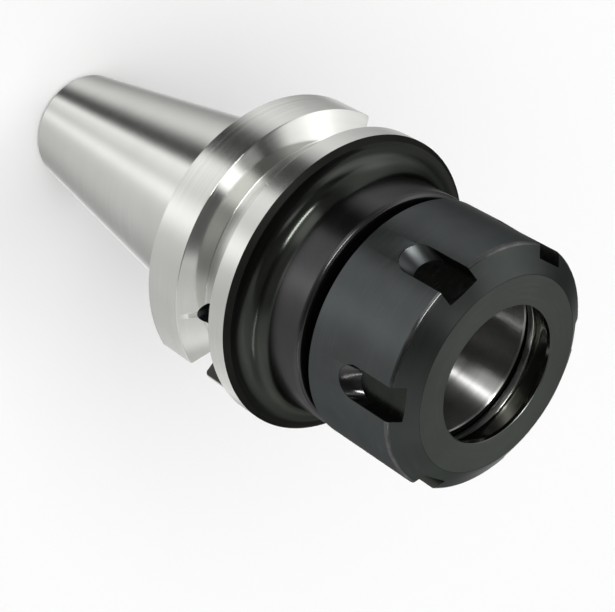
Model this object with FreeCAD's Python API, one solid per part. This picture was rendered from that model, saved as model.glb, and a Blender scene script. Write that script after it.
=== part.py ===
import FreeCAD
import Part
import math
import os

os.makedirs("parts", exist_ok=True)

# All sizes are in millimetres. Z runs along the spindle axis, from the small
# end of the taper up to the nose, and z = 0 is the gauge plane of the taper.

# Taper shank, 7 in 24 on the diameter
gauge_diameter = 44.45
taper_ratio = 7.0 / 24.0
shank_length = 65.4
shank_end_chamfer = 1.0
relief_depth = 0.5
relief_width = 1.2
relief_edge_gap = 0.2

# Pull-stud end of the bore, for an M16 x 2 thread
stud_bore_diameter = 14.0
stud_pilot_diameter = 17.0
stud_pilot_depth = 6.0
stud_mouth_chamfer = 0.5
drill_point_angle = 118.0

# Flange with its gripper groove
flange_diameter = 63.0
flange_rear_z = 2.0
flange_front_z = 27.0
flange_rear_chamfer = 0.8
flange_front_chamfer = 1.0
groove_centre_z = 16.6
groove_depth = 5.0
groove_mouth_width = 10.0
groove_angle = 60.0

# Drive slots on +Y and -Y
drive_slot_width = 16.1
drive_slot_floor_step = 0.375
drive_slot_end_z = 21.0

# Balance hole in the floor of the gripper groove
balance_hole_diameter = 6.0
balance_hole_depth = 6.0
balance_hole_azimuth = 52.3

# Neck behind the nut
neck_diameter = 49.9
neck_fillet = 4.5
neck_fillet_cuts = 5
neck_fillet_land = 0.2
neck_front_z = 39.95
neck_edge_chamfer = 0.6

# Threaded nose, M40 x 1.5, with a plain cylinder near the pitch line. Its wall
# is the one between the mouth of the collet seat and that cylinder.
nose_wall = 2.9
nose_end_z = 58.0
nose_chamfer = 1.0
undercut_depth = 0.95
undercut_width = 2.2

# Collet seat, 8 degrees to the axis
seat_angle = 8.0
seat_mouth_diameter = 33.1
seat_mouth_chamfer = 0.4
seat_depth = 35.0
through_bore_diameter = 22.5
through_bore_end_z = -6.0

# Clamping nut, with a plain bore in place of its thread
nut_wall = 5.45
nut_gap = 2.71
nut_edge_chamfer = 0.4
nut_front_chamfer_length = 3.15
nut_front_chamfer_width = 5.05
nut_mouth_diameter = 27.86
nut_mouth_land = 0.93
nut_mouth_break = 0.15
collet_cone_angle = 30.0
collet_cone_diameter = 34.3
thread_clearance = 0.15
nut_thread_relief = 0.6
nut_thread_end_gap = 1.7
nut_thread_mouth = 0.8
nose_to_lip_gap = 0.3
lip_thickness = 0.64
lip_width = 0.55

# Spanner slots of the nut
spanner_slot_count = 6
spanner_slot_width = 6.85
spanner_slot_depth = 2.75
spanner_slot_length = 12.9
spanner_slot_end_slope = 47.0
spanner_slot_azimuth = -17.1

# Extractor ring, split and eccentric, loose in the nut's groove
ring_thickness = 1.45
ring_wall = 1.5
ring_bore_inset = 0.05
ring_offset = 1.04
ring_gap_width = 3.0
ring_side_clearance = 0.05
ring_radial_clearance = 0.2
ring_azimuth = 90.0

# Radii of the holder that follow from the sizes above
gauge_radius = gauge_diameter / 2
flange_radius = flange_diameter / 2
groove_floor_radius = flange_radius - groove_depth
drive_slot_floor = gauge_radius + drive_slot_floor_step
neck_radius = neck_diameter / 2
seat_mouth_radius = seat_mouth_diameter / 2
nose_radius = seat_mouth_radius + nose_wall
bore_radius = through_bore_diameter / 2
stud_radius = stud_bore_diameter / 2
pilot_radius = stud_pilot_diameter / 2

groove_half_mouth = groove_mouth_width / 2
groove_half_floor = groove_half_mouth - groove_depth * math.tan(math.radians(groove_angle / 2))

seat_top_z = nose_end_z - seat_mouth_chamfer
seat_bottom_z = seat_top_z - seat_depth
seat_bottom_radius = seat_mouth_radius - seat_depth * math.tan(math.radians(seat_angle))

# Radii of the nut and of the ring in it
nut_thread_radius = nose_radius + thread_clearance
nut_radius = nut_thread_radius + nut_wall
nut_mouth_radius = nut_mouth_diameter / 2
cone_radius = collet_cone_diameter / 2
ring_bore_radius = cone_radius - ring_bore_inset
ring_radius = ring_bore_radius + ring_wall
ring_groove_radius = ring_radius + ring_radial_clearance
lip_radius = ring_radius - lip_width

# Heights of the nut, stacked from the end of the nose up to its front face
lip_bottom_z = nose_end_z + nose_to_lip_gap
ring_groove_bottom_z = lip_bottom_z + lip_thickness
ring_bottom_z = ring_groove_bottom_z + ring_side_clearance
cone_bottom_z = ring_bottom_z + ring_thickness + ring_side_clearance
cone_depth = (cone_radius - nut_mouth_radius) / math.tan(math.radians(collet_cone_angle))
cone_top_z = cone_bottom_z + cone_depth
nut_front_z = cone_top_z + nut_mouth_land
nut_rear_z = neck_front_z + nut_gap


def taper_radius(z):
    return gauge_radius + z * taper_ratio / 2


def point(r, z):
    return FreeCAD.Vector(r, 0, z)


def turned(edges):
    """Solid of revolution about Z from the edges of a closed half section."""
    face = Part.Face(Part.Wire(edges))
    return face.revolve(FreeCAD.Vector(0, 0, 0), FreeCAD.Vector(0, 0, 1), 360)


def fillet_points(before, here, after, radius):
    """Points along the arc that rounds the corner at here, one cut apart."""
    to_before = (before - here).normalize()
    to_after = (after - here).normalize()
    half_angle = to_before.getAngle(to_after) / 2
    reach = radius / math.tan(half_angle)
    centre = here + (to_before + to_after).normalize() * (radius / math.sin(half_angle))
    start = here + to_before * reach - centre
    end = here + to_after * reach - centre
    sweep = start.getAngle(end)
    points = []
    for i in range(neck_fillet_cuts + 1):
        angle = sweep * i / neck_fillet_cuts
        start_share = math.sin(sweep - angle) / math.sin(sweep)
        end_share = math.sin(angle) / math.sin(sweep)
        points.append(centre + start * start_share + end * end_share)
    return points


def section_edges(corners):
    """Straight edges through the corners; a corner (r, z, radius) is rounded."""
    points = []
    for i, corner in enumerate(corners):
        here = point(corner[0], corner[1])
        if len(corner) == 2:
            points.append(here)
            continue
        before = point(*corners[i - 1][:2])
        after = point(*corners[(i + 1) % len(corners)][:2])
        points += fillet_points(before, here, after, corner[2])
    ends = points[1:] + points[:1]
    return [Part.LineSegment(start, end).toShape() for start, end in zip(points, ends)]


def turn_about_axis(shape, degrees):
    turned_copy = shape.copy()
    turned_copy.rotate(FreeCAD.Vector(0, 0, 0), FreeCAD.Vector(0, 0, 1), degrees)
    return turned_copy


def rounded_slot_face(half_width, end_z, open_z, floor):
    """U-shaped face in the plane x = floor, round at end_z and open at open_z."""
    side = 1 if open_z > end_z else -1
    centre_z = end_z + side * half_width
    low_left = FreeCAD.Vector(floor, -half_width, centre_z)
    low_right = FreeCAD.Vector(floor, half_width, centre_z)
    round_end = Part.Arc(low_left, FreeCAD.Vector(floor, 0, end_z), low_right).toShape()
    far_left = FreeCAD.Vector(floor, -half_width, open_z)
    far_right = FreeCAD.Vector(floor, half_width, open_z)
    sides = [
        Part.LineSegment(low_right, far_right).toShape(),
        Part.LineSegment(far_right, far_left).toShape(),
        Part.LineSegment(far_left, low_left).toShape(),
    ]
    return Part.Face(Part.Wire([round_end] + sides))


def holder_blank():
    """Shank, flange, neck and nose as one turned piece with its stepped bore."""
    shank_z = -shank_length
    relief_start_z = flange_rear_z - relief_width
    relief_radius = gauge_radius - relief_depth
    undercut_end_z = neck_front_z + undercut_width
    undercut_radius = nose_radius - undercut_depth
    chamfer_top_z = shank_z + shank_end_chamfer
    flange_face_radius = flange_radius - flange_front_chamfer
    fillet_room = flange_face_radius - neck_fillet_land - neck_radius
    bore_step = abs(seat_bottom_radius - bore_radius)
    drill_slope = math.tan(math.radians(drill_point_angle / 2))
    drill_end_z = through_bore_end_z - (bore_radius - stud_radius) / drill_slope
    outside = [
        (taper_radius(chamfer_top_z) - shank_end_chamfer, shank_z),
        (taper_radius(chamfer_top_z), chamfer_top_z),
        (gauge_radius, 0),
        (gauge_radius, relief_start_z),
        (relief_radius, relief_start_z + relief_depth),
        (relief_radius, flange_rear_z + relief_depth),
        (gauge_radius + relief_edge_gap, flange_rear_z),
        (flange_radius - flange_rear_chamfer, flange_rear_z),
        (flange_radius, flange_rear_z + flange_rear_chamfer),
        (flange_radius, groove_centre_z - groove_half_mouth),
        (groove_floor_radius, groove_centre_z - groove_half_floor),
        (groove_floor_radius, groove_centre_z + groove_half_floor),
        (flange_radius, groove_centre_z + groove_half_mouth),
        (flange_radius, flange_front_z - flange_front_chamfer),
        (flange_face_radius, flange_front_z),
        (neck_radius, flange_front_z, min(neck_fillet, fillet_room)),
        (neck_radius, neck_front_z - neck_edge_chamfer),
        (neck_radius - neck_edge_chamfer, neck_front_z),
        (undercut_radius, neck_front_z),
        (undercut_radius, undercut_end_z),
        (nose_radius, undercut_end_z + undercut_depth),
        (nose_radius, nose_end_z - nose_chamfer),
        (nose_radius - nose_chamfer, nose_end_z),
    ]
    inside = [
        (seat_mouth_radius + seat_mouth_chamfer, nose_end_z),
        (seat_mouth_radius, seat_top_z),
        (seat_bottom_radius, seat_bottom_z),
        (bore_radius, seat_bottom_z - bore_step),
        (bore_radius, through_bore_end_z),
        (stud_radius, drill_end_z),
        (stud_radius, shank_z + stud_pilot_depth),
        (pilot_radius, shank_z + stud_pilot_depth),
        (pilot_radius, shank_z + stud_mouth_chamfer),
        (pilot_radius + stud_mouth_chamfer, shank_z),
    ]
    return turned(section_edges(outside + inside))


def drive_slot():
    """Key slot milled from the flange's rear side, round at its front end."""
    half_width = drive_slot_width / 2
    face = rounded_slot_face(half_width, drive_slot_end_z, flange_rear_z - 1, drive_slot_floor)
    return face.extrude(FreeCAD.Vector(flange_radius, 0, 0))


def balance_hole():
    """Radial flat-bottomed hole milled into the groove's floor."""
    bottom = groove_floor_radius - balance_hole_depth
    base = FreeCAD.Vector(bottom, 0, groove_centre_z)
    along_x = FreeCAD.Vector(1, 0, 0)
    hole = Part.makeCylinder(balance_hole_diameter / 2, flange_radius - bottom, base, along_x)
    return turn_about_axis(hole, balance_hole_azimuth)


def holder_body():
    body = holder_blank()
    for azimuth in (90, 270):
        body = body.cut(turn_about_axis(drive_slot(), azimuth))
    return body.cut(balance_hole())


def nut_blank():
    """Nut turned with its mouth, 30 degree seat, ring groove and thread bore."""
    relief_radius = nut_thread_radius + nut_thread_relief
    thread_end_z = lip_bottom_z - nut_thread_end_gap
    section = [
        (nut_radius - nut_edge_chamfer, nut_rear_z),
        (nut_radius, nut_rear_z + nut_edge_chamfer),
        (nut_radius, nut_front_z - nut_front_chamfer_length),
        (nut_radius - nut_front_chamfer_width, nut_front_z),
        (nut_mouth_radius + nut_mouth_break, nut_front_z),
        (nut_mouth_radius, nut_front_z - nut_mouth_break),
        (nut_mouth_radius, cone_top_z),
        (cone_radius, cone_bottom_z),
        (ring_groove_radius, cone_bottom_z),
        (ring_groove_radius, ring_groove_bottom_z),
        (lip_radius, ring_groove_bottom_z),
        (lip_radius, lip_bottom_z),
        (relief_radius, lip_bottom_z),
        (relief_radius, thread_end_z),
        (nut_thread_radius, thread_end_z - nut_thread_relief),
        (nut_thread_radius, nut_rear_z + nut_thread_mouth),
        (nut_thread_radius + nut_thread_mouth, nut_rear_z),
    ]
    return turned(section_edges(section))


def spanner_slot():
    """Slot open at the nut's front, with a round end that slopes up to the rim."""
    half_width = spanner_slot_width / 2
    floor = nut_radius - spanner_slot_depth
    end_z = nut_front_z - spanner_slot_length
    face = rounded_slot_face(half_width, end_z, 2 * nut_front_z, floor)
    height = nut_radius
    slope_back = height * math.tan(math.radians(spanner_slot_end_slope))
    return face.extrude(FreeCAD.Vector(height, 0, -slope_back))


def clamping_nut():
    nut = nut_blank()
    step = 360.0 / spanner_slot_count
    for i in range(spanner_slot_count):
        nut = nut.cut(turn_about_axis(spanner_slot(), spanner_slot_azimuth + i * step))
    return nut


def extractor_ring():
    """Ring with an off-centre bore, cut through at its thinnest place."""
    up = FreeCAD.Vector(0, 0, 1)
    base = FreeCAD.Vector(0, 0, ring_bottom_z)
    bore_base = FreeCAD.Vector(ring_offset, 0, ring_bottom_z)
    gap_corner = FreeCAD.Vector(0, -ring_gap_width / 2, ring_bottom_z)
    ring = Part.makeCylinder(ring_radius, ring_thickness, base, up)
    ring = ring.cut(Part.makeCylinder(ring_bore_radius, ring_thickness, bore_base, up))
    ring = ring.cut(Part.makeBox(2 * ring_radius, ring_gap_width, ring_thickness, gap_corner))
    return turn_about_axis(ring, ring_azimuth)


def export(name, shape):
    shape.exportStep("parts/" + name + ".step")
    print(name, "valid", shape.isValid(), "solids", len(shape.Solids), "volume", round(shape.Volume, 1))


export("holder_body", holder_body())
export("clamping_nut", clamping_nut())
export("extractor_ring", extractor_ring())
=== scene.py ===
import math
import bpy
import numpy as np
from mathutils import Matrix, Vector


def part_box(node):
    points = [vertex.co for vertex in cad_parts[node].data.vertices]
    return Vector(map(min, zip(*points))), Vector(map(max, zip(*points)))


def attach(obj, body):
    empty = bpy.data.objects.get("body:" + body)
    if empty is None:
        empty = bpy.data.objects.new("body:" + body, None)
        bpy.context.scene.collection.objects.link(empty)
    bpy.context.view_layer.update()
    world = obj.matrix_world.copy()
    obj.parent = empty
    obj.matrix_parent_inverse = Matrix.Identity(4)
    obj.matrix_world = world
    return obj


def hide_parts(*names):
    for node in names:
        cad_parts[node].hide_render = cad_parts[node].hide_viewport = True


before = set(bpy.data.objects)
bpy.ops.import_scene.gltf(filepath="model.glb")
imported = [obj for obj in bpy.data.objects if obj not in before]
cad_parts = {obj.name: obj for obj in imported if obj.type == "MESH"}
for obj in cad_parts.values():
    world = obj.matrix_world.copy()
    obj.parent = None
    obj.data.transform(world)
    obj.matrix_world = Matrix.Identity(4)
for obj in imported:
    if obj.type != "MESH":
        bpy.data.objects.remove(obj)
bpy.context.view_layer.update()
holderLow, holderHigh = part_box("holder_body")
nutLow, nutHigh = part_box("clamping_nut")
ringLow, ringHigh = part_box("extractor_ring")
print("frame loaded:", ", ".join(sorted(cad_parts)))

mm = 0.001  # the sizes below are in millimetres, the scene is in metres
smallEndZ = holderLow.z / mm
noseEndZ = holderHigh.z / mm
flangeRadius = holderHigh.x / mm
nutRearZ = nutLow.z / mm
nutFrontZ = nutHigh.z / mm
nutRadius = nutHigh.x / mm
ringBottomZ = ringLow.z / mm
ringTopZ = ringHigh.z / mm


# Finishes: shader helpers and the one group that all the turned faces share

def addNode(tree, kind, inputs=None, **settings):
    # One shader node. A socket given as an input is linked, anything else is its value.
    node = tree.nodes.new(kind)
    for setting, value in settings.items():
        setattr(node, setting, value)
    for place, value in (inputs or {}).items():
        if isinstance(value, bpy.types.NodeSocket):
            tree.links.new(value, node.inputs[place])
        else:
            node.inputs[place].default_value = value
    return node


markShape = {
    "radiusShare": 0.83,  # how far the radius counts beside the height, so that flat faces have lines too
    "lineDetail": 3.0, "lineRoughness": 0.65, "cloudDetail": 4.0, "noiseLow": 0.3, "noiseHigh": 0.7,
    "lineDepth": 0.01,  # in mm
    "shineTurn": 0.25,  # a quarter turn, so that the shine spreads across the lines
}


def turningMarksGroup(shape):
    # Fine lines left by turning and grinding, which run round the axis on every face: with c the
    # radius share, noise(x / streak, y / streak, (z + c sqrt(x^2 + y^2)) / spacing), sizes in mm.
    group = bpy.data.node_groups.new("turningMarks", "ShaderNodeTree")
    group.interface.new_socket("Line Spacing", in_out="INPUT", socket_type="NodeSocketFloat")
    group.interface.new_socket("Streak Length", in_out="INPUT", socket_type="NodeSocketFloat")
    group.interface.new_socket("Cloud Size", in_out="INPUT", socket_type="NodeSocketFloat")
    group.interface.new_socket("Lines", in_out="OUTPUT", socket_type="NodeSocketFloat")
    group.interface.new_socket("Clouds", in_out="OUTPUT", socket_type="NodeSocketFloat")
    given = group.nodes.new("NodeGroupInput")
    result = group.nodes.new("NodeGroupOutput")
    place = addNode(group, "ShaderNodeTexCoord").outputs["Object"]
    inMm = addNode(group, "ShaderNodeVectorMath", {0: place, "Scale": 1 / mm}, operation="SCALE").outputs[0]
    flat = addNode(group, "ShaderNodeVectorMath", {0: inMm, 1: (1, 1, 0)}, operation="MULTIPLY").outputs[0]
    radius = addNode(group, "ShaderNodeVectorMath", {0: flat}, operation="LENGTH").outputs["Value"]
    axes = addNode(group, "ShaderNodeSeparateXYZ", {0: inMm}).outputs
    leaning = {0: radius, 1: shape["radiusShare"], 2: axes["Z"]}
    across = addNode(group, "ShaderNodeMath", leaning, operation="MULTIPLY_ADD").outputs[0]
    spacing = given.outputs["Line Spacing"]
    streak = given.outputs["Streak Length"]
    cloud = given.outputs["Cloud Size"]
    lineX = addNode(group, "ShaderNodeMath", {0: axes["X"], 1: streak}, operation="DIVIDE").outputs[0]
    lineY = addNode(group, "ShaderNodeMath", {0: axes["Y"], 1: streak}, operation="DIVIDE").outputs[0]
    lineZ = addNode(group, "ShaderNodeMath", {0: across, 1: spacing}, operation="DIVIDE").outputs[0]
    stretched = addNode(group, "ShaderNodeCombineXYZ", {0: lineX, 1: lineY, 2: lineZ}).outputs[0]
    cloudPlace = addNode(group, "ShaderNodeVectorMath", {0: inMm, 1: cloud}, operation="DIVIDE").outputs[0]
    lines = addNode(group, "ShaderNodeTexNoise", {
        "Vector": stretched, "Scale": 1.0, "Detail": shape["lineDetail"],
        "Roughness": shape["lineRoughness"]})
    clouds = addNode(group, "ShaderNodeTexNoise", {
        "Vector": cloudPlace, "Scale": 1.0, "Detail": shape["cloudDetail"]})
    group.links.new(lines.outputs["Fac"], result.inputs["Lines"])
    group.links.new(clouds.outputs["Fac"], result.inputs["Clouds"])
    return group


turningMarks = turningMarksGroup(markShape)


def blend(tree, share, low, high):
    # low + (high - low) * share, for grey values
    return addNode(tree, "ShaderNodeMapRange", {"Value": share, "To Min": low, "To Max": high}).outputs[0]


def shareOf(tree, value, low, high):
    # (value - low) / (high - low), kept between 0 and 1
    inputs = {"Value": value, "From Min": low, "From Max": high}
    return addNode(tree, "ShaderNodeMapRange", inputs).outputs[0]


def turnedFinish(name, look):
    # One turned or ground surface: tone = low + (high - low) lines clouds, gloss changes with the lines,
    # and the lines stand proud
    material = bpy.data.materials.new(name)
    material.use_nodes = True
    tree = material.node_tree
    shader = tree.nodes["Principled BSDF"]
    marks = addNode(tree, "ShaderNodeGroup", node_tree=turningMarks)
    marks.inputs["Line Spacing"].default_value = look["lineSpacing"]
    marks.inputs["Streak Length"].default_value = look["streakLength"]
    marks.inputs["Cloud Size"].default_value = look["cloudSize"]
    lines, clouds = marks.outputs["Lines"], marks.outputs["Clouds"]
    lineShare = shareOf(tree, lines, markShape["noiseLow"], markShape["noiseHigh"])
    cloudShare = shareOf(tree, clouds, markShape["noiseLow"], markShape["noiseHigh"])
    share = addNode(tree, "ShaderNodeMath", {0: lineShare, 1: cloudShare}, operation="MULTIPLY").outputs[0]
    tone = addNode(tree, "ShaderNodeMix", {"Factor": share}, data_type="RGBA")
    tone.inputs["A"].default_value = (*look["toneLow"], 1)
    tone.inputs["B"].default_value = (*look["toneHigh"], 1)
    tree.links.new(tone.outputs["Result"], shader.inputs["Base Color"])
    tree.links.new(blend(tree, lineShare, *look["roughness"]), shader.inputs["Roughness"])
    shader.inputs["Metallic"].default_value = look["metallic"]
    edgeTint = look.get("edgeTint", 1.0)  # how far the shine still rises at a flat angle
    shader.inputs["Specular Tint"].default_value = (edgeTint, edgeTint, edgeTint, 1)
    shader.inputs["Anisotropic"].default_value = look["anisotropic"]
    shader.inputs["Anisotropic Rotation"].default_value = markShape["shineTurn"]
    around = addNode(tree, "ShaderNodeTangent", direction_type="RADIAL", axis="Z")
    tree.links.new(around.outputs[0], shader.inputs["Tangent"])
    bump = addNode(tree, "ShaderNodeBump", {
        "Height": lines, "Strength": look["lineStrength"], "Distance": markShape["lineDepth"] * mm})
    tree.links.new(bump.outputs[0], shader.inputs["Normal"])
    return material


finishLooks = {
    "groundSteel": {
        "toneLow": (0.63, 0.635, 0.605), "toneHigh": (0.74, 0.745, 0.715), "roughness": (0.21, 0.27),
        "metallic": 1.0, "anisotropic": 0.8, "lineSpacing": 0.2, "streakLength": 60.0,
        "cloudSize": 20.0, "lineStrength": 0.09,
    },
    "flankSteel": {
        "toneLow": (0.72, 0.72, 0.69), "toneHigh": (0.8, 0.8, 0.77), "roughness": (0.09, 0.13),
        "metallic": 1.0, "anisotropic": 0.0, "lineSpacing": 0.25, "streakLength": 40.0,
        "cloudSize": 10.0, "lineStrength": 0.04,
    },
    "glossOxide": {
        "toneLow": (0.046, 0.05, 0.044), "toneHigh": (0.062, 0.066, 0.059), "roughness": (0.16, 0.2),
        "metallic": 0.96, "anisotropic": 0.0, "edgeTint": 0.35, "lineSpacing": 0.3, "streakLength": 20.0,
        "cloudSize": 8.0, "lineStrength": 0.02,
    },
    # painted light: a lighter copy of the holder's oxide on the neck, beside the darker glossOxide of the
    # flange face and fillet
    "neckOxide": {
        "toneLow": (0.066, 0.064, 0.066), "toneHigh": (0.088, 0.085, 0.088), "roughness": (0.2, 0.25),
        "metallic": 0.96, "anisotropic": 0.0, "edgeTint": 0.45, "lineSpacing": 0.3, "streakLength": 20.0,
        "cloudSize": 8.0, "lineStrength": 0.03,
    },
    "millOxide": {
        "toneLow": (0.066, 0.068, 0.066), "toneHigh": (0.088, 0.09, 0.087), "roughness": (0.11, 0.16),
        "metallic": 0.96, "anisotropic": 0.0, "edgeTint": 0.35, "lineSpacing": 0.5, "streakLength": 3.0,
        "cloudSize": 3.0, "lineStrength": 0.04,
    },
    # painted shade: a darker copy of the face's oxide, which keeps the flange's front chamfer dark; its
    # roughness is its own
    "chamferOxide": {
        "toneLow": (0.02, 0.021, 0.019), "toneHigh": (0.03, 0.031, 0.028), "roughness": (0.5, 0.6),
        "metallic": 0.96, "anisotropic": 0.0, "edgeTint": 0.3, "lineSpacing": 0.3, "streakLength": 20.0,
        "cloudSize": 4.0, "lineStrength": 0.03,
    },
    "satinOxide": {
        "toneLow": (0.078, 0.084, 0.084), "toneHigh": (0.1, 0.108, 0.11), "roughness": (0.32, 0.4),
        "metallic": 0.96, "anisotropic": 0.2, "edgeTint": 0.35, "lineSpacing": 0.3, "streakLength": 20.0,
        "cloudSize": 6.0, "lineStrength": 0.04,
    },
    # painted shade: a darker copy of the nut's oxide, for its front cone
    "frontOxide": {
        "toneLow": (0.054, 0.06, 0.056), "toneHigh": (0.066, 0.073, 0.069), "roughness": (0.28, 0.36),
        "metallic": 0.96, "anisotropic": 0.2, "edgeTint": 0.35, "lineSpacing": 0.3, "streakLength": 20.0,
        "cloudSize": 6.0, "lineStrength": 0.03,
    },
    # painted light: a lighter copy of the nut's oxide, for its front face
    "faceOxide": {
        "toneLow": (0.12, 0.131, 0.118), "toneHigh": (0.148, 0.162, 0.146), "roughness": (0.34, 0.42),
        "metallic": 0.96, "anisotropic": 0.2, "edgeTint": 0.35, "lineSpacing": 0.3, "streakLength": 20.0,
        "cloudSize": 6.0, "lineStrength": 0.04,
    },
    # painted shade: a darker copy of the nut's oxide, for the spanner slots' walls, floors and broken edges
    "shadedSlotOxide": {
        "toneLow": (0.035, 0.039, 0.033), "toneHigh": (0.05, 0.055, 0.048), "roughness": (0.2, 0.28),
        "metallic": 0.96, "anisotropic": 0.0, "edgeTint": 0.35, "lineSpacing": 0.5, "streakLength": 3.0,
        "cloudSize": 4.0, "lineStrength": 0.05,
    },
    # lighter oxide on the nut's rounded edges: partly wear, partly a painted highlight that widens the
    # edges' glint
    "wornOxide": {
        "toneLow": (0.075, 0.077, 0.076), "toneHigh": (0.15, 0.152, 0.15), "roughness": (0.2, 0.26),
        "metallic": 0.96, "anisotropic": 0.0, "edgeTint": 0.35, "lineSpacing": 0.5, "streakLength": 3.0,
        "cloudSize": 3.0, "lineStrength": 0.05,
    },
    # painted shade: a darker copy of the ground steel, for the seat and its mouth inside the holder's nose
    "seatSteel": {
        "toneLow": (0.36, 0.36, 0.35), "toneHigh": (0.5, 0.5, 0.49), "roughness": (0.29, 0.33),
        "metallic": 1.0, "anisotropic": 1.0, "lineSpacing": 0.3, "streakLength": 30.0,
        "cloudSize": 5.0, "lineStrength": 0.06,
    },
    "springSteel": {
        "toneLow": (0.62, 0.62, 0.6), "toneHigh": (0.8, 0.8, 0.78), "roughness": (0.2, 0.26),
        "metallic": 1.0, "anisotropic": 0.6, "lineSpacing": 0.3, "streakLength": 20.0,
        "cloudSize": 5.0, "lineStrength": 0.06,
    },
    # painted shade: steel far darker than ground steel, for the land and the inner cone in the nut's mouth
    "dimSteel": {
        "toneLow": (0.1, 0.1, 0.08), "toneHigh": (0.15, 0.15, 0.12), "roughness": (0.08, 0.13),
        "metallic": 1.0, "anisotropic": 0.3, "lineSpacing": 0.35, "streakLength": 8.0,
        "cloudSize": 5.0, "lineStrength": 0.1,
    },
}
finishes = {name: turnedFinish(name, look) for name, look in finishLooks.items()}
finishNumber = {name: number for number, name in enumerate(finishes)}
print("finishes:", ", ".join(finishes))


# Shapes: outlines, turned surfaces, threads and cutters, all as whole arrays

def outlineRows(corners, guard=0.12, stepDegrees=20):
    # A closed outline in (r, z). The corner P with rounding q becomes the arc C + q (cos t, sin t) that
    # touches both sides, with C = P + q u / sin(h), u the unit vector that halves the corner and h half
    # its angle. A side gets a row near each end, so that its shading stays true up to the rounding.
    # A corner is (r, z, rounding, finish of the side after it) and, where its rounding has another finish,
    # that one too.
    spots = np.array([corner[:2] for corner in corners], float)
    back = np.roll(spots, 1, axis=0) - spots
    ahead = np.roll(spots, -1, axis=0) - spots
    back /= np.linalg.norm(back, axis=1)[:, None]
    ahead /= np.linalg.norm(ahead, axis=1)[:, None]
    halfAngle = 0.5 * np.arccos(np.clip((back * ahead).sum(axis=1), -1, 1))
    arcs = []
    for number, corner in enumerate(corners):
        rounding = corner[2]
        if rounding == 0:
            arcs.append(spots[number:number + 1])
            continue
        middle = back[number] + ahead[number]
        middle /= np.linalg.norm(middle)
        centre = spots[number] + middle * rounding / np.sin(halfAngle[number])
        reach = rounding / np.tan(halfAngle[number])
        first = np.arctan2(*(spots[number] + back[number] * reach - centre)[::-1])
        last = np.arctan2(*(spots[number] + ahead[number] * reach - centre)[::-1])
        sweep = (last - first + np.pi) % (2 * np.pi) - np.pi
        steps = max(2, math.ceil(abs(math.degrees(sweep)) / stepDegrees))
        angle = first + sweep * np.linspace(0, 1, steps + 1)
        arcs.append(centre + rounding * np.stack([np.cos(angle), np.sin(angle)], axis=1))
    points, stripFinish = [], []
    for number, corner in enumerate(corners):
        sideFinish = corner[3]
        cornerFinish = corner[4] if len(corner) > 4 else sideFinish
        start = arcs[number][-1]
        end = arcs[(number + 1) % len(corners)][0]
        length = np.linalg.norm(end - start)
        share = np.array([guard / length, 1 - guard / length]) if length > 4 * guard else np.zeros(0)
        points += [arcs[number], start + (end - start) * share[:, None]]
        stripFinish += [cornerFinish] * (len(arcs[number]) - 1) + [sideFinish] * (1 + len(share))
    return np.concatenate(points), np.array([finishNumber[name] for name in stripFinish])


def turnedGrid(radius, height, segments):
    # (r cos a, r sin a, z) on a grid of rows along the outline and columns round the axis.
    # radius may itself change with the column, as a thread's does.
    angle = np.arange(segments) * 2 * np.pi / segments
    radius = np.broadcast_to(radius if radius.ndim == 2 else radius[:, None], (len(height), segments))
    height = np.broadcast_to(height[:, None], radius.shape)
    return np.stack([radius * np.cos(angle), radius * np.sin(angle), height], axis=-1)


def gridQuads(rows, columns, closeRows=True, closeColumns=True):
    # Corner numbers of the cells of a grid: (i, j), (i, j + 1), (i + 1, j + 1), (i + 1, j)
    row = np.arange(rows if closeRows else rows - 1)[:, None]
    column = np.arange(columns if closeColumns else columns - 1)[None, :]
    nextRow = (row + 1) % rows
    nextColumn = (column + 1) % columns
    cell = [row * columns + column, row * columns + nextColumn, nextRow * columns + nextColumn,
            nextRow * columns + column]
    return np.stack([corner.ravel() for corner in np.broadcast_arrays(*cell)], axis=1)


def makeMesh(name, points, quads, triangles, faceFinish):
    # Mesh from whole arrays of points in mm, four- and three-cornered faces, and a finish for each face
    mesh = bpy.data.meshes.new(name)
    corners = np.concatenate([quads.ravel(), triangles.ravel()]).astype(np.int32)
    sizes = np.concatenate([np.full(len(quads), 4), np.full(len(triangles), 3)]).astype(np.int32)
    mesh.vertices.add(len(points))
    mesh.vertices.foreach_set("co", (points * mm).astype(np.float32).ravel())
    mesh.loops.add(len(corners))
    mesh.loops.foreach_set("vertex_index", corners)
    mesh.polygons.add(len(sizes))
    mesh.polygons.foreach_set("loop_start", np.cumsum(sizes) - sizes)
    mesh.polygons.foreach_set("material_index", np.asarray(faceFinish, np.int32))
    for material in finishes.values():
        mesh.materials.append(material)
    mesh.update(calc_edges=True)
    piece = bpy.data.objects.new(name, mesh)
    bpy.context.scene.collection.objects.link(piece)
    return piece


def turnedPiece(name, radius, height, stripFinish, segments):
    # A closed outline carried round the axis, with the finish of each strip between two rows
    grid = turnedGrid(radius, height, segments)
    quads = gridQuads(len(height), segments)
    faceFinish = np.repeat(stripFinish, segments)
    return makeMesh(name, grid.reshape(-1, 3), quads, np.zeros((0, 3), int), faceFinish)


def turnedAboutAxis(points, degrees):
    # Points turned about Z: (x cos a - y sin a, x sin a + y cos a, z)
    turn = math.radians(degrees)
    cosine, sine = math.cos(turn), math.sin(turn)
    return points @ np.array([[cosine, sine, 0], [-sine, cosine, 0], [0, 0, 1]])


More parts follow.
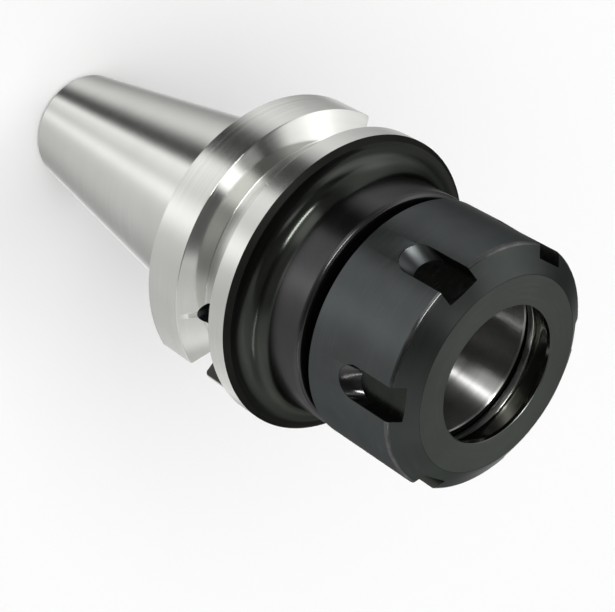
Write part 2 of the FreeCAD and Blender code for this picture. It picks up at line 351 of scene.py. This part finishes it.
def cutterPiece(name, layers, stripFinish, endsFinish):
    # Closed skin over layers of one closed loop of points each, from the inner end out. Each end is a fan
    # about its middle. A strip between two layers has one finish number, or one for each point of the loop.
    rows, columns = layers.shape[:2]
    quads = gridQuads(rows, columns, closeRows=False)
    middles = np.stack([layers[0].mean(axis=0), layers[-1].mean(axis=0)])
    points = np.concatenate([layers.reshape(-1, 3), middles])
    column = np.arange(columns)
    nextColumn = (column + 1) % columns
    innerFan = np.stack([nextColumn, column, np.full(columns, rows * columns)], axis=1)
    last = (rows - 1) * columns
    outerFan = np.stack([last + column, last + nextColumn, np.full(columns, rows * columns + 1)], axis=1)
    finish = [np.broadcast_to(strip, columns) for strip in (*stripFinish, endsFinish, endsFinish)]
    return makeMesh(name, points, quads, np.concatenate([innerFan, outerFan]), np.concatenate(finish))


def slotLoop(halfWidth, endZ, openZ, sideStep=0.1, arcSteps=28):
    # U-shaped loop (y, z), its outward directions, and 1 on its round end: two straight sides and a half
    # circle at endZ, (-w cos t, c - s w sin t) with c the circle's centre and s the side that the slot is
    # open to. Anticlockwise seen from outside.
    side = 1 if openZ > endZ else -1
    centreZ = endZ + side * halfWidth
    count = math.ceil(abs(openZ - centreZ) / sideStep)
    run = np.linspace(openZ, centreZ, count, endpoint=False)
    turn = np.linspace(0, np.pi, arcSteps + 1)
    zeros, ones = np.zeros(count), np.ones(count)
    loop = np.stack([
        np.concatenate([-halfWidth * ones, -halfWidth * np.cos(turn), halfWidth * ones]),
        np.concatenate([run, centreZ - side * halfWidth * np.sin(turn), run[::-1]]),
        np.concatenate([-ones, -np.cos(turn), ones]),
        np.concatenate([zeros, -side * np.sin(turn), zeros]),
        np.concatenate([zeros, np.ones(len(turn)), zeros]),
    ])
    return loop if side > 0 else loop[:, ::-1]


cutterReach = {
    "above": 0.6,  # how far the broken edge's slope goes on over the surface, in mm
    "least": 0.01,  # least height of a layer over the slot's floor
    "past": 5.0,  # how far the cutter stands out past the flange
    "rounds": 12,  # rounds in which x and z are worked out from one another
}


def slotCutter(name, loop, floor, surface, edgeBreak, slopeDegrees, azimuth, finishNames):
    # The loop carried outwards from the slot's floor: x on the turned surface is sqrt(r(z)^2 - y^2), the
    # edge is broken at 45 degrees under it, and z of the round end falls by (x - floor) tan(slope).
    # The finishes are those of the wall, the broken edge and the round end.
    y, z, outY, outZ, isEnd = loop
    above = cutterReach["above"]
    slope = math.tan(math.radians(slopeDegrees)) * isEnd
    layers = [np.stack([np.full(len(y), floor), y, z], axis=1)]
    for depth, widening in ((-edgeBreak, 0.0), (above, edgeBreak + above)):
        wideY = y + outY * widening
        wideZ = z + outZ * widening
        least = floor + cutterReach["least"] * (1 + widening)
        x = np.full(len(y), floor)
        for _ in range(cutterReach["rounds"]):
            radius = surface(wideZ - (x - floor) * slope, depth)
            x = np.maximum(np.sqrt(np.maximum(radius ** 2 - wideY ** 2, 0)), least)
        layers.append(np.stack([x, wideY, wideZ - (x - floor) * slope], axis=1))
    outside = layers[-1].copy()
    outside[:, 0] = flangeRadius + cutterReach["past"]
    layers.append(outside)
    wall, edge, end = (finishNumber[finishName] for finishName in finishNames)
    wallOrEnd = np.where(isEnd == 1, end, wall)
    return cutterPiece(name, turnedAboutAxis(np.stack(layers), azimuth), (wallOrEnd, edge, wall), wall)


def cutAway(piece, cutters):
    # Takes the cutters out of the piece, with their faces' finishes, and keeps the result
    for cutter in cutters:
        cut = piece.modifiers.new("cut", "BOOLEAN")
        cut.operation = "DIFFERENCE"
        cut.solver = "MANIFOLD"
        cut.object = cutter
    bpy.context.view_layer.update()
    result = bpy.data.meshes.new_from_object(piece.evaluated_get(bpy.context.evaluated_depsgraph_get()))
    piece.modifiers.clear()
    piece.data = result
    for cutter in cutters:
        bpy.data.objects.remove(cutter)


def finishPiece(piece, body, nodes=(), sharpDegrees=32):
    # Smooth shading up to the sharp edges, then the piece's body, and the CAD nodes that it hides
    piece.data.shade_smooth()
    piece.data.set_sharp_from_angle(angle=math.radians(sharpDegrees))
    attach(piece, body)
    if nodes:
        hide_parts(*nodes)
    print(piece.name, len(piece.data.polygons), "faces")


# Holder body

holder = {
    "segments": 384,
    "gaugeRadius": 22.225, "taperRatio": 7 / 24, "endChamfer": 1.0,
    "reliefFrom": 0.8, "reliefDepth": 0.5, "reliefEdgeRadius": 22.425,
    "flangeRearZ": 2.0, "flangeFrontZ": 27.0, "rearChamfer": 0.8, "frontChamfer": 1.0,
    "grooveZ": 16.6, "grooveHalfMouth": 5.0, "grooveDepth": 5.0, "grooveSlope": 30.0,
    "neckRadius": 24.95, "neckFillet": 4.5, "neckFrontZ": 39.95, "neckRound": 1.1,
    "undercutRadius": 18.5, "undercutEndZ": 42.15, "noseCoreRadius": 18.95, "noseFaceRadius": 18.45,
    "seatMouthRadius": 16.55, "seatMouthChamfer": 0.25, "seatDepth": 35.0, "seatAngle": 8.0,
    "boreRadius": 11.25, "boreEndZ": -6.0, "drillSlope": 59.0,
    "studRadius": 7.0, "studCoreRadius": 8.15, "studThreadTopZ": -28.5, "studThreadTaper": 1.0,
    "pilotRadius": 8.5, "pilotDepth": 6.0, "pilotChamfer": 0.5,
    "keenRound": 0.05, "fineRound": 0.1, "rimRound": 0.15, "innerRound": 0.2, "faceRound": 0.3,
    "endRound": 0.4,
}


def holderOutline(size):
    # Half section: from the pilot's mouth round the outside to the nose, down the seat and the bores, and
    # back to the pilot's mouth. The shank's radius is gauge radius + z ratio / 2.
    chamferZ = smallEndZ + size["endChamfer"]
    taperEnd = size["gaugeRadius"] + chamferZ * size["taperRatio"] / 2
    relief = size["gaugeRadius"] - size["reliefDepth"]
    grooveFloor = flangeRadius - size["grooveDepth"]
    halfFloor = size["grooveHalfMouth"] - size["grooveDepth"] * math.tan(math.radians(size["grooveSlope"]))
    seatTopZ = noseEndZ - size["seatMouthChamfer"]
    seatBottomZ = seatTopZ - size["seatDepth"]
    seatBottom = size["seatMouthRadius"] - size["seatDepth"] * math.tan(math.radians(size["seatAngle"]))
    boreStep = size["boreRadius"] - size["studRadius"]
    drillEndZ = size["boreEndZ"] - boreStep / math.tan(math.radians(size["drillSlope"]))
    pilotTopZ = smallEndZ + size["pilotDepth"]
    noseStartZ = size["undercutEndZ"] + size["noseCoreRadius"] - size["undercutRadius"]
    keen, fine, rim = size["keenRound"], size["fineRound"], size["rimRound"]
    inner, face, end = size["innerRound"], size["faceRound"], size["endRound"]
    ground, flank, seat = "groundSteel", "flankSteel", "seatSteel"
    black, chamfer, neck = "glossOxide", "chamferOxide", "neckOxide"
    return outlineRows([
        (size["pilotRadius"] + size["pilotChamfer"], smallEndZ, fine, ground),
        (taperEnd - size["endChamfer"], smallEndZ, face, ground),
        (taperEnd, chamferZ, end, ground),
        (size["gaugeRadius"], 0, fine, ground),
        (size["gaugeRadius"], size["reliefFrom"], fine, black),
        (relief, size["reliefFrom"] + size["reliefDepth"], inner, black),
        (relief, size["flangeRearZ"] + size["reliefDepth"], inner, black),
        (size["reliefEdgeRadius"], size["flangeRearZ"], fine, ground),
        (flangeRadius - size["rearChamfer"], size["flangeRearZ"], rim, ground),
        (flangeRadius, size["flangeRearZ"] + size["rearChamfer"], rim, ground),
        (flangeRadius, size["grooveZ"] - size["grooveHalfMouth"], rim, flank),
        (grooveFloor, size["grooveZ"] - halfFloor, face, ground),
        (grooveFloor, size["grooveZ"] + halfFloor, face, ground),
        (flangeRadius, size["grooveZ"] + size["grooveHalfMouth"], rim, ground),
        # the front chamfer is painted shade, an oxide darker than the flange face
        (flangeRadius, size["flangeFrontZ"] - size["frontChamfer"], fine, chamfer),
        (flangeRadius - size["frontChamfer"], size["flangeFrontZ"], rim, black, chamfer),
        # the neck gets painted light, an oxide lighter than that of the flange face and fillet
        (size["neckRadius"], size["flangeFrontZ"], size["neckFillet"], neck, black),
        (size["neckRadius"], size["neckFrontZ"], size["neckRound"], black, neck),
        (size["undercutRadius"], size["neckFrontZ"], inner, black),
        (size["undercutRadius"], size["undercutEndZ"], fine, black),
        (size["noseCoreRadius"], noseStartZ, 0, black),
        (size["noseCoreRadius"], noseEndZ + size["noseFaceRadius"] - size["noseCoreRadius"], 0, black),
        (size["noseFaceRadius"], noseEndZ, fine, black),
        # the seat's mouth chamfer and the seat are painted shade, a darker copy of the ground steel
        (size["seatMouthRadius"] + size["seatMouthChamfer"], noseEndZ, fine, seat),
        (size["seatMouthRadius"], seatTopZ, fine, seat),
        (seatBottom, seatBottomZ, fine, black),
        (size["boreRadius"], seatBottomZ - (seatBottom - size["boreRadius"]), fine, black),
        (size["boreRadius"], size["boreEndZ"], fine, black),
        (size["studRadius"], drillEndZ, fine, black),
        (size["studRadius"], size["studThreadTopZ"], 0, black),
        (size["studCoreRadius"], size["studThreadTopZ"] - size["studThreadTaper"], 0, black),
        (size["studCoreRadius"], pilotTopZ, 0, black),
        (size["pilotRadius"], pilotTopZ, fine, black),
        (size["pilotRadius"], smallEndZ + size["pilotChamfer"], keen, ground),
    ])


driveSlot = {
    "halfWidth": 8.05, "floor": 22.6, "endZ": 21.0, "openZ": 0.4, "edgeBreak": 0.3, "azimuths": (90, 270),
    "finishes": ("glossOxide", "groundSteel", "glossOxide"),
}
balanceHole = {
    "radius": 3.0, "bottom": 20.5, "azimuth": 52.3, "out": 33.0, "steps": 48, "finish": "satinOxide",
}


def balanceHoleCutter(size):
    # Circle (y, z) = R (cos t, sin t) carried along x from the hole's flat bottom, then turned about Z
    angle = np.linspace(0, 2 * np.pi, size["steps"], endpoint=False)
    y = size["radius"] * np.cos(angle)
    z = holder["grooveZ"] + size["radius"] * np.sin(angle)
    layers = [np.stack([np.full(size["steps"], x), y, z], axis=1) for x in (size["bottom"], size["out"])]
    turned = turnedAboutAxis(np.stack(layers), size["azimuth"])
    finish = finishNumber[size["finish"]]
    return cutterPiece("balanceHoleCutter", turned, [finish], finish)


def flangeSurface(z, depth):
    # Radius of the flange's rim moved out by depth, the same at every height
    return np.full(len(z), flangeRadius + depth)


rows, stripFinish = holderOutline(holder)
holderBody = turnedPiece("holderBody", rows[:, 0], rows[:, 1], stripFinish, holder["segments"])
driveLoop = slotLoop(driveSlot["halfWidth"], driveSlot["endZ"], driveSlot["openZ"])
holderCutters = [balanceHoleCutter(balanceHole)]
for azimuth in driveSlot["azimuths"]:
    holderCutters.append(slotCutter("driveSlotCutter", driveLoop, driveSlot["floor"], flangeSurface,
                                    driveSlot["edgeBreak"], 0, azimuth, driveSlot["finishes"]))
cutAway(holderBody, holderCutters)
finishPiece(holderBody, "holder", ["holder_body"])


# Clamping nut

nut = {
    "segments": 432,
    "rearChamfer": 0.4, "frontChamferLength": 3.15, "frontChamferWidth": 5.05,
    "mouthRadius": 13.93, "mouthBreak": 0.15, "mouthLand": 0.93,
    "coneRadius": 17.15, "coneBottomZ": 60.49, "ringGrooveRadius": 18.8, "ringGrooveBottomZ": 58.94,
    "lipRadius": 18.05, "lipBottomZ": 58.3, "reliefRadius": 20.2, "reliefBottomZ": 56.6,
    "threadCoreRadius": 20.12, "threadMouthRadius": 20.4, "threadLead": 0.1,
    "keenRound": 0.05, "innerRound": 0.1, "rearRound": 0.12, "faceRound": 0.3, "frontRound": 1.0,
}


def nutOutline(size):
    # Half section: from the rear chamfer over the outside, the front cone and the face to the mouth, and
    # back through the ground cone, the ring's groove, the lip and the relief to the thread's mouth
    black, edge, front, face, mouthShade = "satinOxide", "wornOxide", "frontOxide", "faceOxide", "dimSteel"
    keen, inner, rear = size["keenRound"], size["innerRound"], size["rearRound"]
    chamferZ = nutFrontZ - size["frontChamferLength"]
    mouthRise = size["threadMouthRadius"] - size["threadCoreRadius"]
    return outlineRows([
        # the rounded edges carry wear and a painted highlight: an oxide lighter than the rest of the nut
        (nutRadius - size["rearChamfer"], nutRearZ, rear, black, edge),
        (nutRadius, nutRearZ + size["rearChamfer"], rear, black, edge),
        # the front cone gets painted shade and the face painted light, as darker and lighter copies of the
        # nut's oxide
        (nutRadius, chamferZ, size["frontRound"], front, edge),
        (nutRadius - size["frontChamferWidth"], nutFrontZ, size["faceRound"], face, front),
        (size["mouthRadius"] + size["mouthBreak"], nutFrontZ, keen, black, edge),
        # the land and the inner cone below it are painted shade, a steel far darker than ground steel
        (size["mouthRadius"], nutFrontZ - size["mouthBreak"], keen, mouthShade, edge),
        (size["mouthRadius"], nutFrontZ - size["mouthLand"], keen, mouthShade),
        (size["coneRadius"], size["coneBottomZ"], keen, black),
        (size["ringGrooveRadius"], size["coneBottomZ"], inner, black),
        (size["ringGrooveRadius"], size["ringGrooveBottomZ"], inner, black),
        (size["lipRadius"], size["ringGrooveBottomZ"], keen, black),
        (size["lipRadius"], size["lipBottomZ"], keen, black),
        (size["reliefRadius"], size["lipBottomZ"], inner, black),
        (size["reliefRadius"], size["reliefBottomZ"], inner, black),
        (size["threadCoreRadius"], size["reliefBottomZ"] - size["threadLead"], 0, black),
        (size["threadCoreRadius"], nutRearZ + mouthRise, 0, black),
        (size["threadMouthRadius"], nutRearZ, 0, black),
    ])


spannerSlot = {
    "count": 6, "halfWidth": 3.425, "depth": 2.75, "endZ": 54.1, "openZ": 68.5,
    # the slots' finish is painted shade, darker than the nut's satin oxide
    "slope": 47.0, "azimuth": -17.1, "edgeBreak": 0.07, "finish": "shadedSlotOxide",
    "endFinishes": ("satinOxide", "millOxide"),  # of the round ends, in turn
}


def nutSurface(z, depth):
    # Radius of the nut's outside moved out by depth: the smaller of the cylinder and the front cone, whose
    # side is hypot(length, width) long, so that its radius grows by depth side / length
    side = math.hypot(nut["frontChamferLength"], nut["frontChamferWidth"])
    lean = nut["frontChamferWidth"] / nut["frontChamferLength"]
    faceRadius = nutRadius - nut["frontChamferWidth"]
    cone = faceRadius + (nutFrontZ - z) * lean + depth * side / nut["frontChamferLength"]
    return np.maximum(np.minimum(nutRadius + depth, cone), 0)


rows, stripFinish = nutOutline(nut)
nutBody = turnedPiece("nutBody", rows[:, 0], rows[:, 1], stripFinish, nut["segments"])
slotFloor = nutRadius - spannerSlot["depth"]
spannerLoop = slotLoop(spannerSlot["halfWidth"], spannerSlot["endZ"], spannerSlot["openZ"])
nutCutters = []
for number in range(spannerSlot["count"]):
    azimuth = spannerSlot["azimuth"] + number * 360 / spannerSlot["count"]
    endFinish = spannerSlot["endFinishes"][number % len(spannerSlot["endFinishes"])]
    slotFinishes = (spannerSlot["finish"], spannerSlot["finish"], endFinish)
    nutCutters.append(slotCutter("spannerSlotCutter", spannerLoop, slotFloor, nutSurface,
                                 spannerSlot["edgeBreak"], spannerSlot["slope"], azimuth, slotFinishes))
cutAway(nutBody, nutCutters)
finishPiece(nutBody, "nut", ["clamping_nut"])


# Threads: the M40 x 1.5 of nose and nut and the M16 x 2 of the small end

threadFlank = 30.0  # degrees, half of the thread's angle
noseThread = {
    "pitch": 1.5, "minor": 19.16, "major": 19.97, "fromZ": 42.3, "toZ": 57.9, "hidden": 18.3,
    "rise": 0.0, "segments": 216, "rowStep": 0.1,
}
nutThread = {
    "pitch": 1.5, "minor": 19.26, "major": 20.07, "fromZ": 42.72, "toZ": 56.9, "hidden": 20.8,
    "rise": 0.02, "segments": 216, "rowStep": 0.1,
}
studThread = {
    "pitch": 2.0, "minor": 7.0, "major": 8.05, "fromZ": -59.38, "toZ": -29.0, "hidden": 8.4,
    "rise": 0.0, "segments": 128, "rowStep": 0.14, "mouthStep": 0.3,
}


def threadRows(size):
    # 60 degree thread: with u = P |frac(z / P - a / 2 pi) - 1/2| the distance from the root's middle,
    # r = minor + (u - P / 8) / tan(30), kept between minor and major, and rise moves it outwards.
    height = np.arange(size["fromZ"], size["toZ"], size["rowStep"])
    angle = np.arange(size["segments"]) / size["segments"]
    phase = (height[:, None] / size["pitch"] - angle[None, :]) % 1
    distance = size["pitch"] * np.abs(phase - 0.5)
    slope = math.tan(math.radians(threadFlank))
    radius = size["minor"] + size["rise"] + (distance - size["pitch"] / 8) / slope
    return height, np.clip(radius, size["minor"], size["major"])


def threadSleeve(name, size, height, surface):
    # The threaded surface, closed by a plain cylinder that is hidden in the metal
    rowsZ = np.concatenate([[height[0]], height, [height[-1]]])
    hiddenRow = np.full((1, size["segments"]), size["hidden"])
    radius = np.concatenate([hiddenRow, surface, hiddenRow])
    if size["hidden"] > surface.max():
        rowsZ, radius = rowsZ[::-1], radius[::-1]
    stripFinish = np.full(len(rowsZ), finishNumber["satinOxide"])
    return turnedPiece(name, radius, rowsZ, stripFinish, size["segments"])


height, surface = threadRows(noseThread)
noseChamfer = holder["noseFaceRadius"] + noseEndZ - height  # 45 degrees at the nose's end
noseRunout = holder["undercutRadius"] + height - holder["undercutEndZ"]  # and at the undercut
surface = np.minimum(surface, np.minimum(noseChamfer, noseRunout)[:, None])
noseSleeve = threadSleeve("noseThread", noseThread, height, surface)
finishPiece(noseSleeve, "holder")

height, surface = threadRows(nutThread)
nutMouth = nut["threadMouthRadius"] + nutRearZ - height  # 45 degrees at the nut's rear
nutRunout = nut["reliefRadius"] + height - nut["reliefBottomZ"]  # and at the relief
surface = np.maximum(surface, np.maximum(nutMouth, nutRunout)[:, None])
nutSleeve = threadSleeve("nutThread", nutThread, height, surface)
finishPiece(nutSleeve, "nut")

height, surface = threadRows(studThread)
studMouth = holder["pilotRadius"] - studThread["mouthStep"] + studThread["fromZ"] - height  # 45 degrees too
surface = np.maximum(surface, np.minimum(studMouth, studThread["major"])[:, None])
studSleeve = threadSleeve("studThread", studThread, height, surface)
finishPiece(studSleeve, "holder")


# Extractor ring

ring = {
    "radius": 18.6, "boreRadius": 17.1, "offset": 1.04, "gap": 3.0, "azimuth": 90.0, "rounding": 0.15,
    "steps": 300, "arcPoints": 4, "rounds": 3,
}


def extractorRing(size):
    # Eccentric split ring. Its bore, seen from the axis, is at o cos b + sqrt(R^2 - (o sin b)^2), with b
    # measured from the offset o, and at radius r the gap's straight sides lie asin(g / 2r) from its middle.
    # Radius and gap are worked out from one another in a few rounds.
    q = size["rounding"]
    turn = np.linspace(0, np.pi / 2, size["arcPoints"])
    arcs = []
    for quarter, (outer, top) in enumerate(((1, 0), (1, 1), (0, 1), (0, 0))):
        angle = turn - np.pi / 2 + quarter * np.pi / 2
        inward = q - q * np.cos(angle) * (1 if outer else -1)
        z = (ringTopZ - q if top else ringBottomZ + q) + q * np.sin(angle)
        arcs.append(np.stack([np.full(len(turn), outer), inward, z], axis=1))
    section = np.concatenate(arcs)
    isOuter, inward, z = section.T
    share = np.linspace(0, 1, size["steps"])[None, :]
    radius = np.full((len(section), size["steps"]), size["radius"])
    for _ in range(size["rounds"]):
        gapAngle = np.arcsin(size["gap"] / 2 / radius)
        b = gapAngle + share * (2 * np.pi - 2 * gapAngle)
        across = size["offset"] * np.sin(b)
        bore = size["offset"] * np.cos(b) + np.sqrt(size["boreRadius"] ** 2 - across ** 2)
        radius = np.where(isOuter[:, None] == 1, size["radius"] - inward[:, None], bore + inward[:, None])
    azimuth = b + math.radians(size["azimuth"])
    height = np.broadcast_to(z[:, None], b.shape)
    points = np.stack([radius * np.cos(azimuth), radius * np.sin(azimuth), height], axis=-1)
    rows, columns = b.shape
    quads = gridQuads(rows, columns, closeColumns=False)
    row = np.arange(rows)
    nextRow = (row + 1) % rows
    middles = np.stack([points[:, 0].mean(axis=0), points[:, -1].mean(axis=0)])
    firstFan = np.stack([row * columns, nextRow * columns, np.full(rows, rows * columns)], axis=1)
    lastFan = np.stack([nextRow * columns + columns - 1, row * columns + columns - 1,
                        np.full(rows, rows * columns + 1)], axis=1)
    faces = np.concatenate([firstFan, lastFan])
    finish = np.full(len(quads) + len(faces), finishNumber["springSteel"])
    return makeMesh("ringBody", np.concatenate([points.reshape(-1, 3), middles]), quads, faces, finish)


ringBody = extractorRing(ring)
finishPiece(ringBody, "ring", ["extractor_ring"])


# Studio: pale floor, a surround of light and dark panels, two long lamps, a spot into the bore and a
# soft light from above

studio = {
    "floorSize": 60.0, "floorTone": 0.9, "floorRoughness": 0.9, "strength": 1.6,
    # azimuth in degrees and brightness of the panels round the part, in six rings one above the other
    "lowPanels": (
        (-180, 1.0), (-172, 1.0), (-154, 0.66), (-134, 0.16), (-114, 0.29), (-94, 0.55), (-74, 0.7),
        (-64, 0.45), (-54, 0.01), (-30, 0.015), (-20, 1.0), (-6, 0.8), (6, 0.68), (26, 1.0), (46, 0.62),
        (66, 0.52), (86, 0.48), (106, 0.38), (126, 0.28), (146, 0.24), (158, 0.45), (166, 0.92)),
    "midPanels": (
        (-180, 0.12), (-166, 0.22), (-154, 0.42), (-134, 0.32), (-114, 0.45), (-94, 0.52), (-74, 0.62),
        (-62, 0.28), (-54, 0.0), (-26, 0.0), (-10, 0.3), (6, 0.45), (26, 0.95), (46, 0.42), (66, 0.35),
        (86, 0.4), (106, 0.6), (126, 0.75), (146, 0.7), (162, 0.2)),
    "sidePanels": (
        (-180, 0.8), (-154, 0.42), (-134, 0.32), (-114, 0.45), (-94, 0.52), (-74, 0.5), (-50, 0.1),
        (-34, 0.1), (-24, 0.95), (-8, 0.9), (6, 0.2), (32, 0.18), (52, 0.16), (71, 0.45), (106, 0.6),
        (126, 0.75), (146, 0.9), (162, 1.0)),
    "highPanels": (
        (-180, 0.36), (-145, 0.12), (-135, 0.32), (-125, 0.6), (-96, 1.0), (-70, 0.4), (-45, 0.04),
        (50, 0.03), (66, 0.12), (82, 0.28), (120, 0.28), (140, 0.45)),
    "topPanels": (
        (-180, 0.03), (-174, 0.05), (-166, 0.34), (-142, 0.34), (-125, 0.8), (-105, 0.95), (-92, 0.65),
        (-80, 0.1), (-74, 0.03), (-62, 0.1), (60, 0.1), (80, 0.35), (110, 0.42), (128, 0.6), (155, 0.4),
        (172, 0.03)),
    "crownPanels": (
        (-180, 0.1), (-90, 0.1), (-68, 0.22), (-54, 0.2), (-46, 1.0), (-26, 1.0), (-12, 0.05), (19, 0.07),
        (55, 0.07), (66, 0.1), (80, 0.4), (140, 0.3)),
    # the direction's z where each ring starts to take over from the one below it, and where it has
    "takeovers": {
        "midPanels": (-0.67, -0.63), "sidePanels": (-0.5, -0.4), "highPanels": (0.1, 0.35),
        "topPanels": (0.56, 0.62), "crownPanels": (0.89, 0.91),
    },
    # the same for the zenith and the dark bench straight below, with their brightness
    "zenith": (0.975, 0.99, 0.06), "under": (-0.93, -0.98, 0.05),
    # long lamps by azimuth, elevation, distance in m, width and height in m, and power
    "strips": {"longStrip": (-14, 29, 2.5, 1.35, 0.28, 24.0), "sideStrip": (84, 28, 2.5, 1.5, 0.08, 2.5)},
    "spot": {
        "azimuth": -26, "elevation": 46, "distance": 1.0, "angle": 1.75, "radius": 0.004, "blend": 0.05,
        "power": 42.0,
    },
    "above": {"strength": 2.38, "angle": 60, "tilt": (-0.06, 0.6)},
}


def panelRamp(tree, share, panels):
    # Brightness by azimuth, at (degrees + 180) / 360 of the ramp, smooth from one panel to the next
    ramp = addNode(tree, "ShaderNodeValToRGB", {"Fac": share})
    ramp.color_ramp.interpolation = "EASE"
    elements = ramp.color_ramp.elements
    elements.remove(elements[1])
    elements[0].position = 0
    for number, (degrees, brightness) in enumerate((*panels, (180, panels[0][1]))):
        element = elements[0] if number == 0 else elements.new((degrees + 180) / 360)
        element.color = (brightness, brightness, brightness, 1)
    return ramp.outputs["Color"]


def studioWorld(size):
    # Six rings of panels by azimuth atan2(y, x), stacked by the direction's z, then the zenith and the
    # dark bench straight below, which only the steel sees
    world = bpy.data.worlds.new("studio")
    world.use_nodes = True
    bpy.context.scene.world = world
    tree = world.node_tree
    direction = addNode(tree, "ShaderNodeTexCoord").outputs["Generated"]
    axes = addNode(tree, "ShaderNodeSeparateXYZ", {0: direction}).outputs
    azimuth = addNode(tree, "ShaderNodeMath", {0: axes["Y"], 1: axes["X"]}, operation="ARCTAN2").outputs[0]
    share = shareOf(tree, azimuth, -math.pi, math.pi)
    light = panelRamp(tree, share, size["lowPanels"])
    steps = []
    for panels, (start, end) in size["takeovers"].items():
        steps.append((start, end, panelRamp(tree, share, size[panels])))
    for start, end, brightness in (size["zenith"], size["under"]):
        steps.append((start, end, (brightness, brightness, brightness, 1)))
    for start, end, nextLight in steps:
        height = shareOf(tree, axes["Z"], start, end)
        layer = addNode(tree, "ShaderNodeMix", {"Factor": height}, data_type="RGBA")
        tree.links.new(light, layer.inputs["A"])
        if isinstance(nextLight, tuple):
            layer.inputs["B"].default_value = nextLight
        else:
            tree.links.new(nextLight, layer.inputs["B"])
        light = layer.outputs["Result"]
    tree.links.new(light, tree.nodes["Background"].inputs["Color"])
    tree.nodes["Background"].inputs["Strength"].default_value = size["strength"]


def studioFloor(size):
    # A square of pale, matt paper at the height of the shank's small end, which the steel doesn't mirror
    half = size["floorSize"] / 2 / mm
    corners = np.array([[-half, -half, smallEndZ], [half, -half, smallEndZ], [half, half, smallEndZ],
                        [-half, half, smallEndZ]])
    floor = makeMesh("floor", corners, np.array([[0, 1, 2, 3]]), np.zeros((0, 3), int), [0])
    floor.data.materials.clear()
    paper = bpy.data.materials.new("palePaper")
    paper.use_nodes = True
    shader = paper.node_tree.nodes["Principled BSDF"]
    tone = size["floorTone"]
    shader.inputs["Base Color"].default_value = (tone, tone, tone, 1)
    shader.inputs["Roughness"].default_value = size["floorRoughness"]
    shader.inputs["Specular IOR Level"].default_value = 0.0
    floor.data.materials.append(paper)
    floor.visible_glossy = False


def placeLamp(name, kind, azimuth, elevation, distance, aim):
    # A lamp at aim + D (cos a cos e, sin a cos e, sin e), turned towards its aim. Only the steel's shine
    # sees it, so that the floor keeps one soft shadow.
    lamp = bpy.data.objects.new(name, bpy.data.lights.new(name, kind))
    azimuth, elevation = math.radians(azimuth), math.radians(elevation)
    level = math.cos(elevation)
    away = Vector((math.cos(azimuth) * level, math.sin(azimuth) * level, math.sin(elevation)))
    lamp.location = away * distance + aim
    lamp.rotation_euler = (-away).to_track_quat("-Z", "Y").to_euler()
    lamp.visible_diffuse = False
    bpy.context.scene.collection.objects.link(lamp)
    return lamp.data


def stripLights(strips):
    # Long lamps that draw the bright lines along the fillet and the edges
    for name, (azimuth, elevation, distance, width, height, power) in strips.items():
        light = placeLamp(name, "AREA", azimuth, elevation, distance, Vector())
        light.shape = "RECTANGLE"
        light.size, light.size_y = width, height
        light.energy = power


def boreSpot(size):
    # A small spot through the nut's mouth, for the streak along the seat
    aim = Vector((0, 0, nutFrontZ * mm))
    light = placeLamp("boreSpot", "SPOT", size["azimuth"], size["elevation"], size["distance"], aim)
    light.energy = size["power"]
    light.shadow_soft_size = size["radius"]
    light.spot_size = math.radians(size["angle"])
    light.spot_blend = size["blend"]


def lightFromAbove(size):
    # Wide even light for the floor and its soft shadow. The steel reflects the panels in its place.
    lamp = bpy.data.objects.new("lightFromAbove", bpy.data.lights.new("lightFromAbove", "SUN"))
    lamp.data.energy = size["strength"]
    lamp.data.angle = math.radians(size["angle"])
    lamp.rotation_euler = (*size["tilt"], 0)
    lamp.visible_glossy = False
    bpy.context.scene.collection.objects.link(lamp)


studioWorld(studio)
studioFloor(studio)
stripLights(studio["strips"])
boreSpot(studio["spot"])
lightFromAbove(studio["above"])


# Camera, where the photograph was taken from

camera = {
    # place, lens and sensor in mm, the nearest distance that it sees in m
    "place": (267.3, 34.4, 243.2), "forward": (-0.7662, -0.0765, -0.638), "up": (0.42, -0.8113, -0.407),
    "lens": 102.8, "sensor": 36.0, "nearest": 0.01,
}


def photoCamera(size):
    # Its axes: right = forward x up, up = right x forward, and it looks along -Z
    view = bpy.data.objects.new("camera", bpy.data.cameras.new("camera"))
    view.data.lens = size["lens"]
    view.data.sensor_width = size["sensor"]
    view.data.sensor_fit = "HORIZONTAL"
    view.data.clip_start = size["nearest"]
    forward = Vector(size["forward"]).normalized()
    right = forward.cross(Vector(size["up"])).normalized()
    up = right.cross(forward)
    axes = Matrix((right, up, -forward)).transposed().to_4x4()
    view.matrix_world = Matrix.Translation(Vector(size["place"]) * mm) @ axes
    bpy.context.scene.collection.objects.link(view)
    bpy.context.scene.camera = view


photoCamera(camera)
bpy.context.scene.view_settings.view_transform = "Standard"
print("studio and camera are in place")
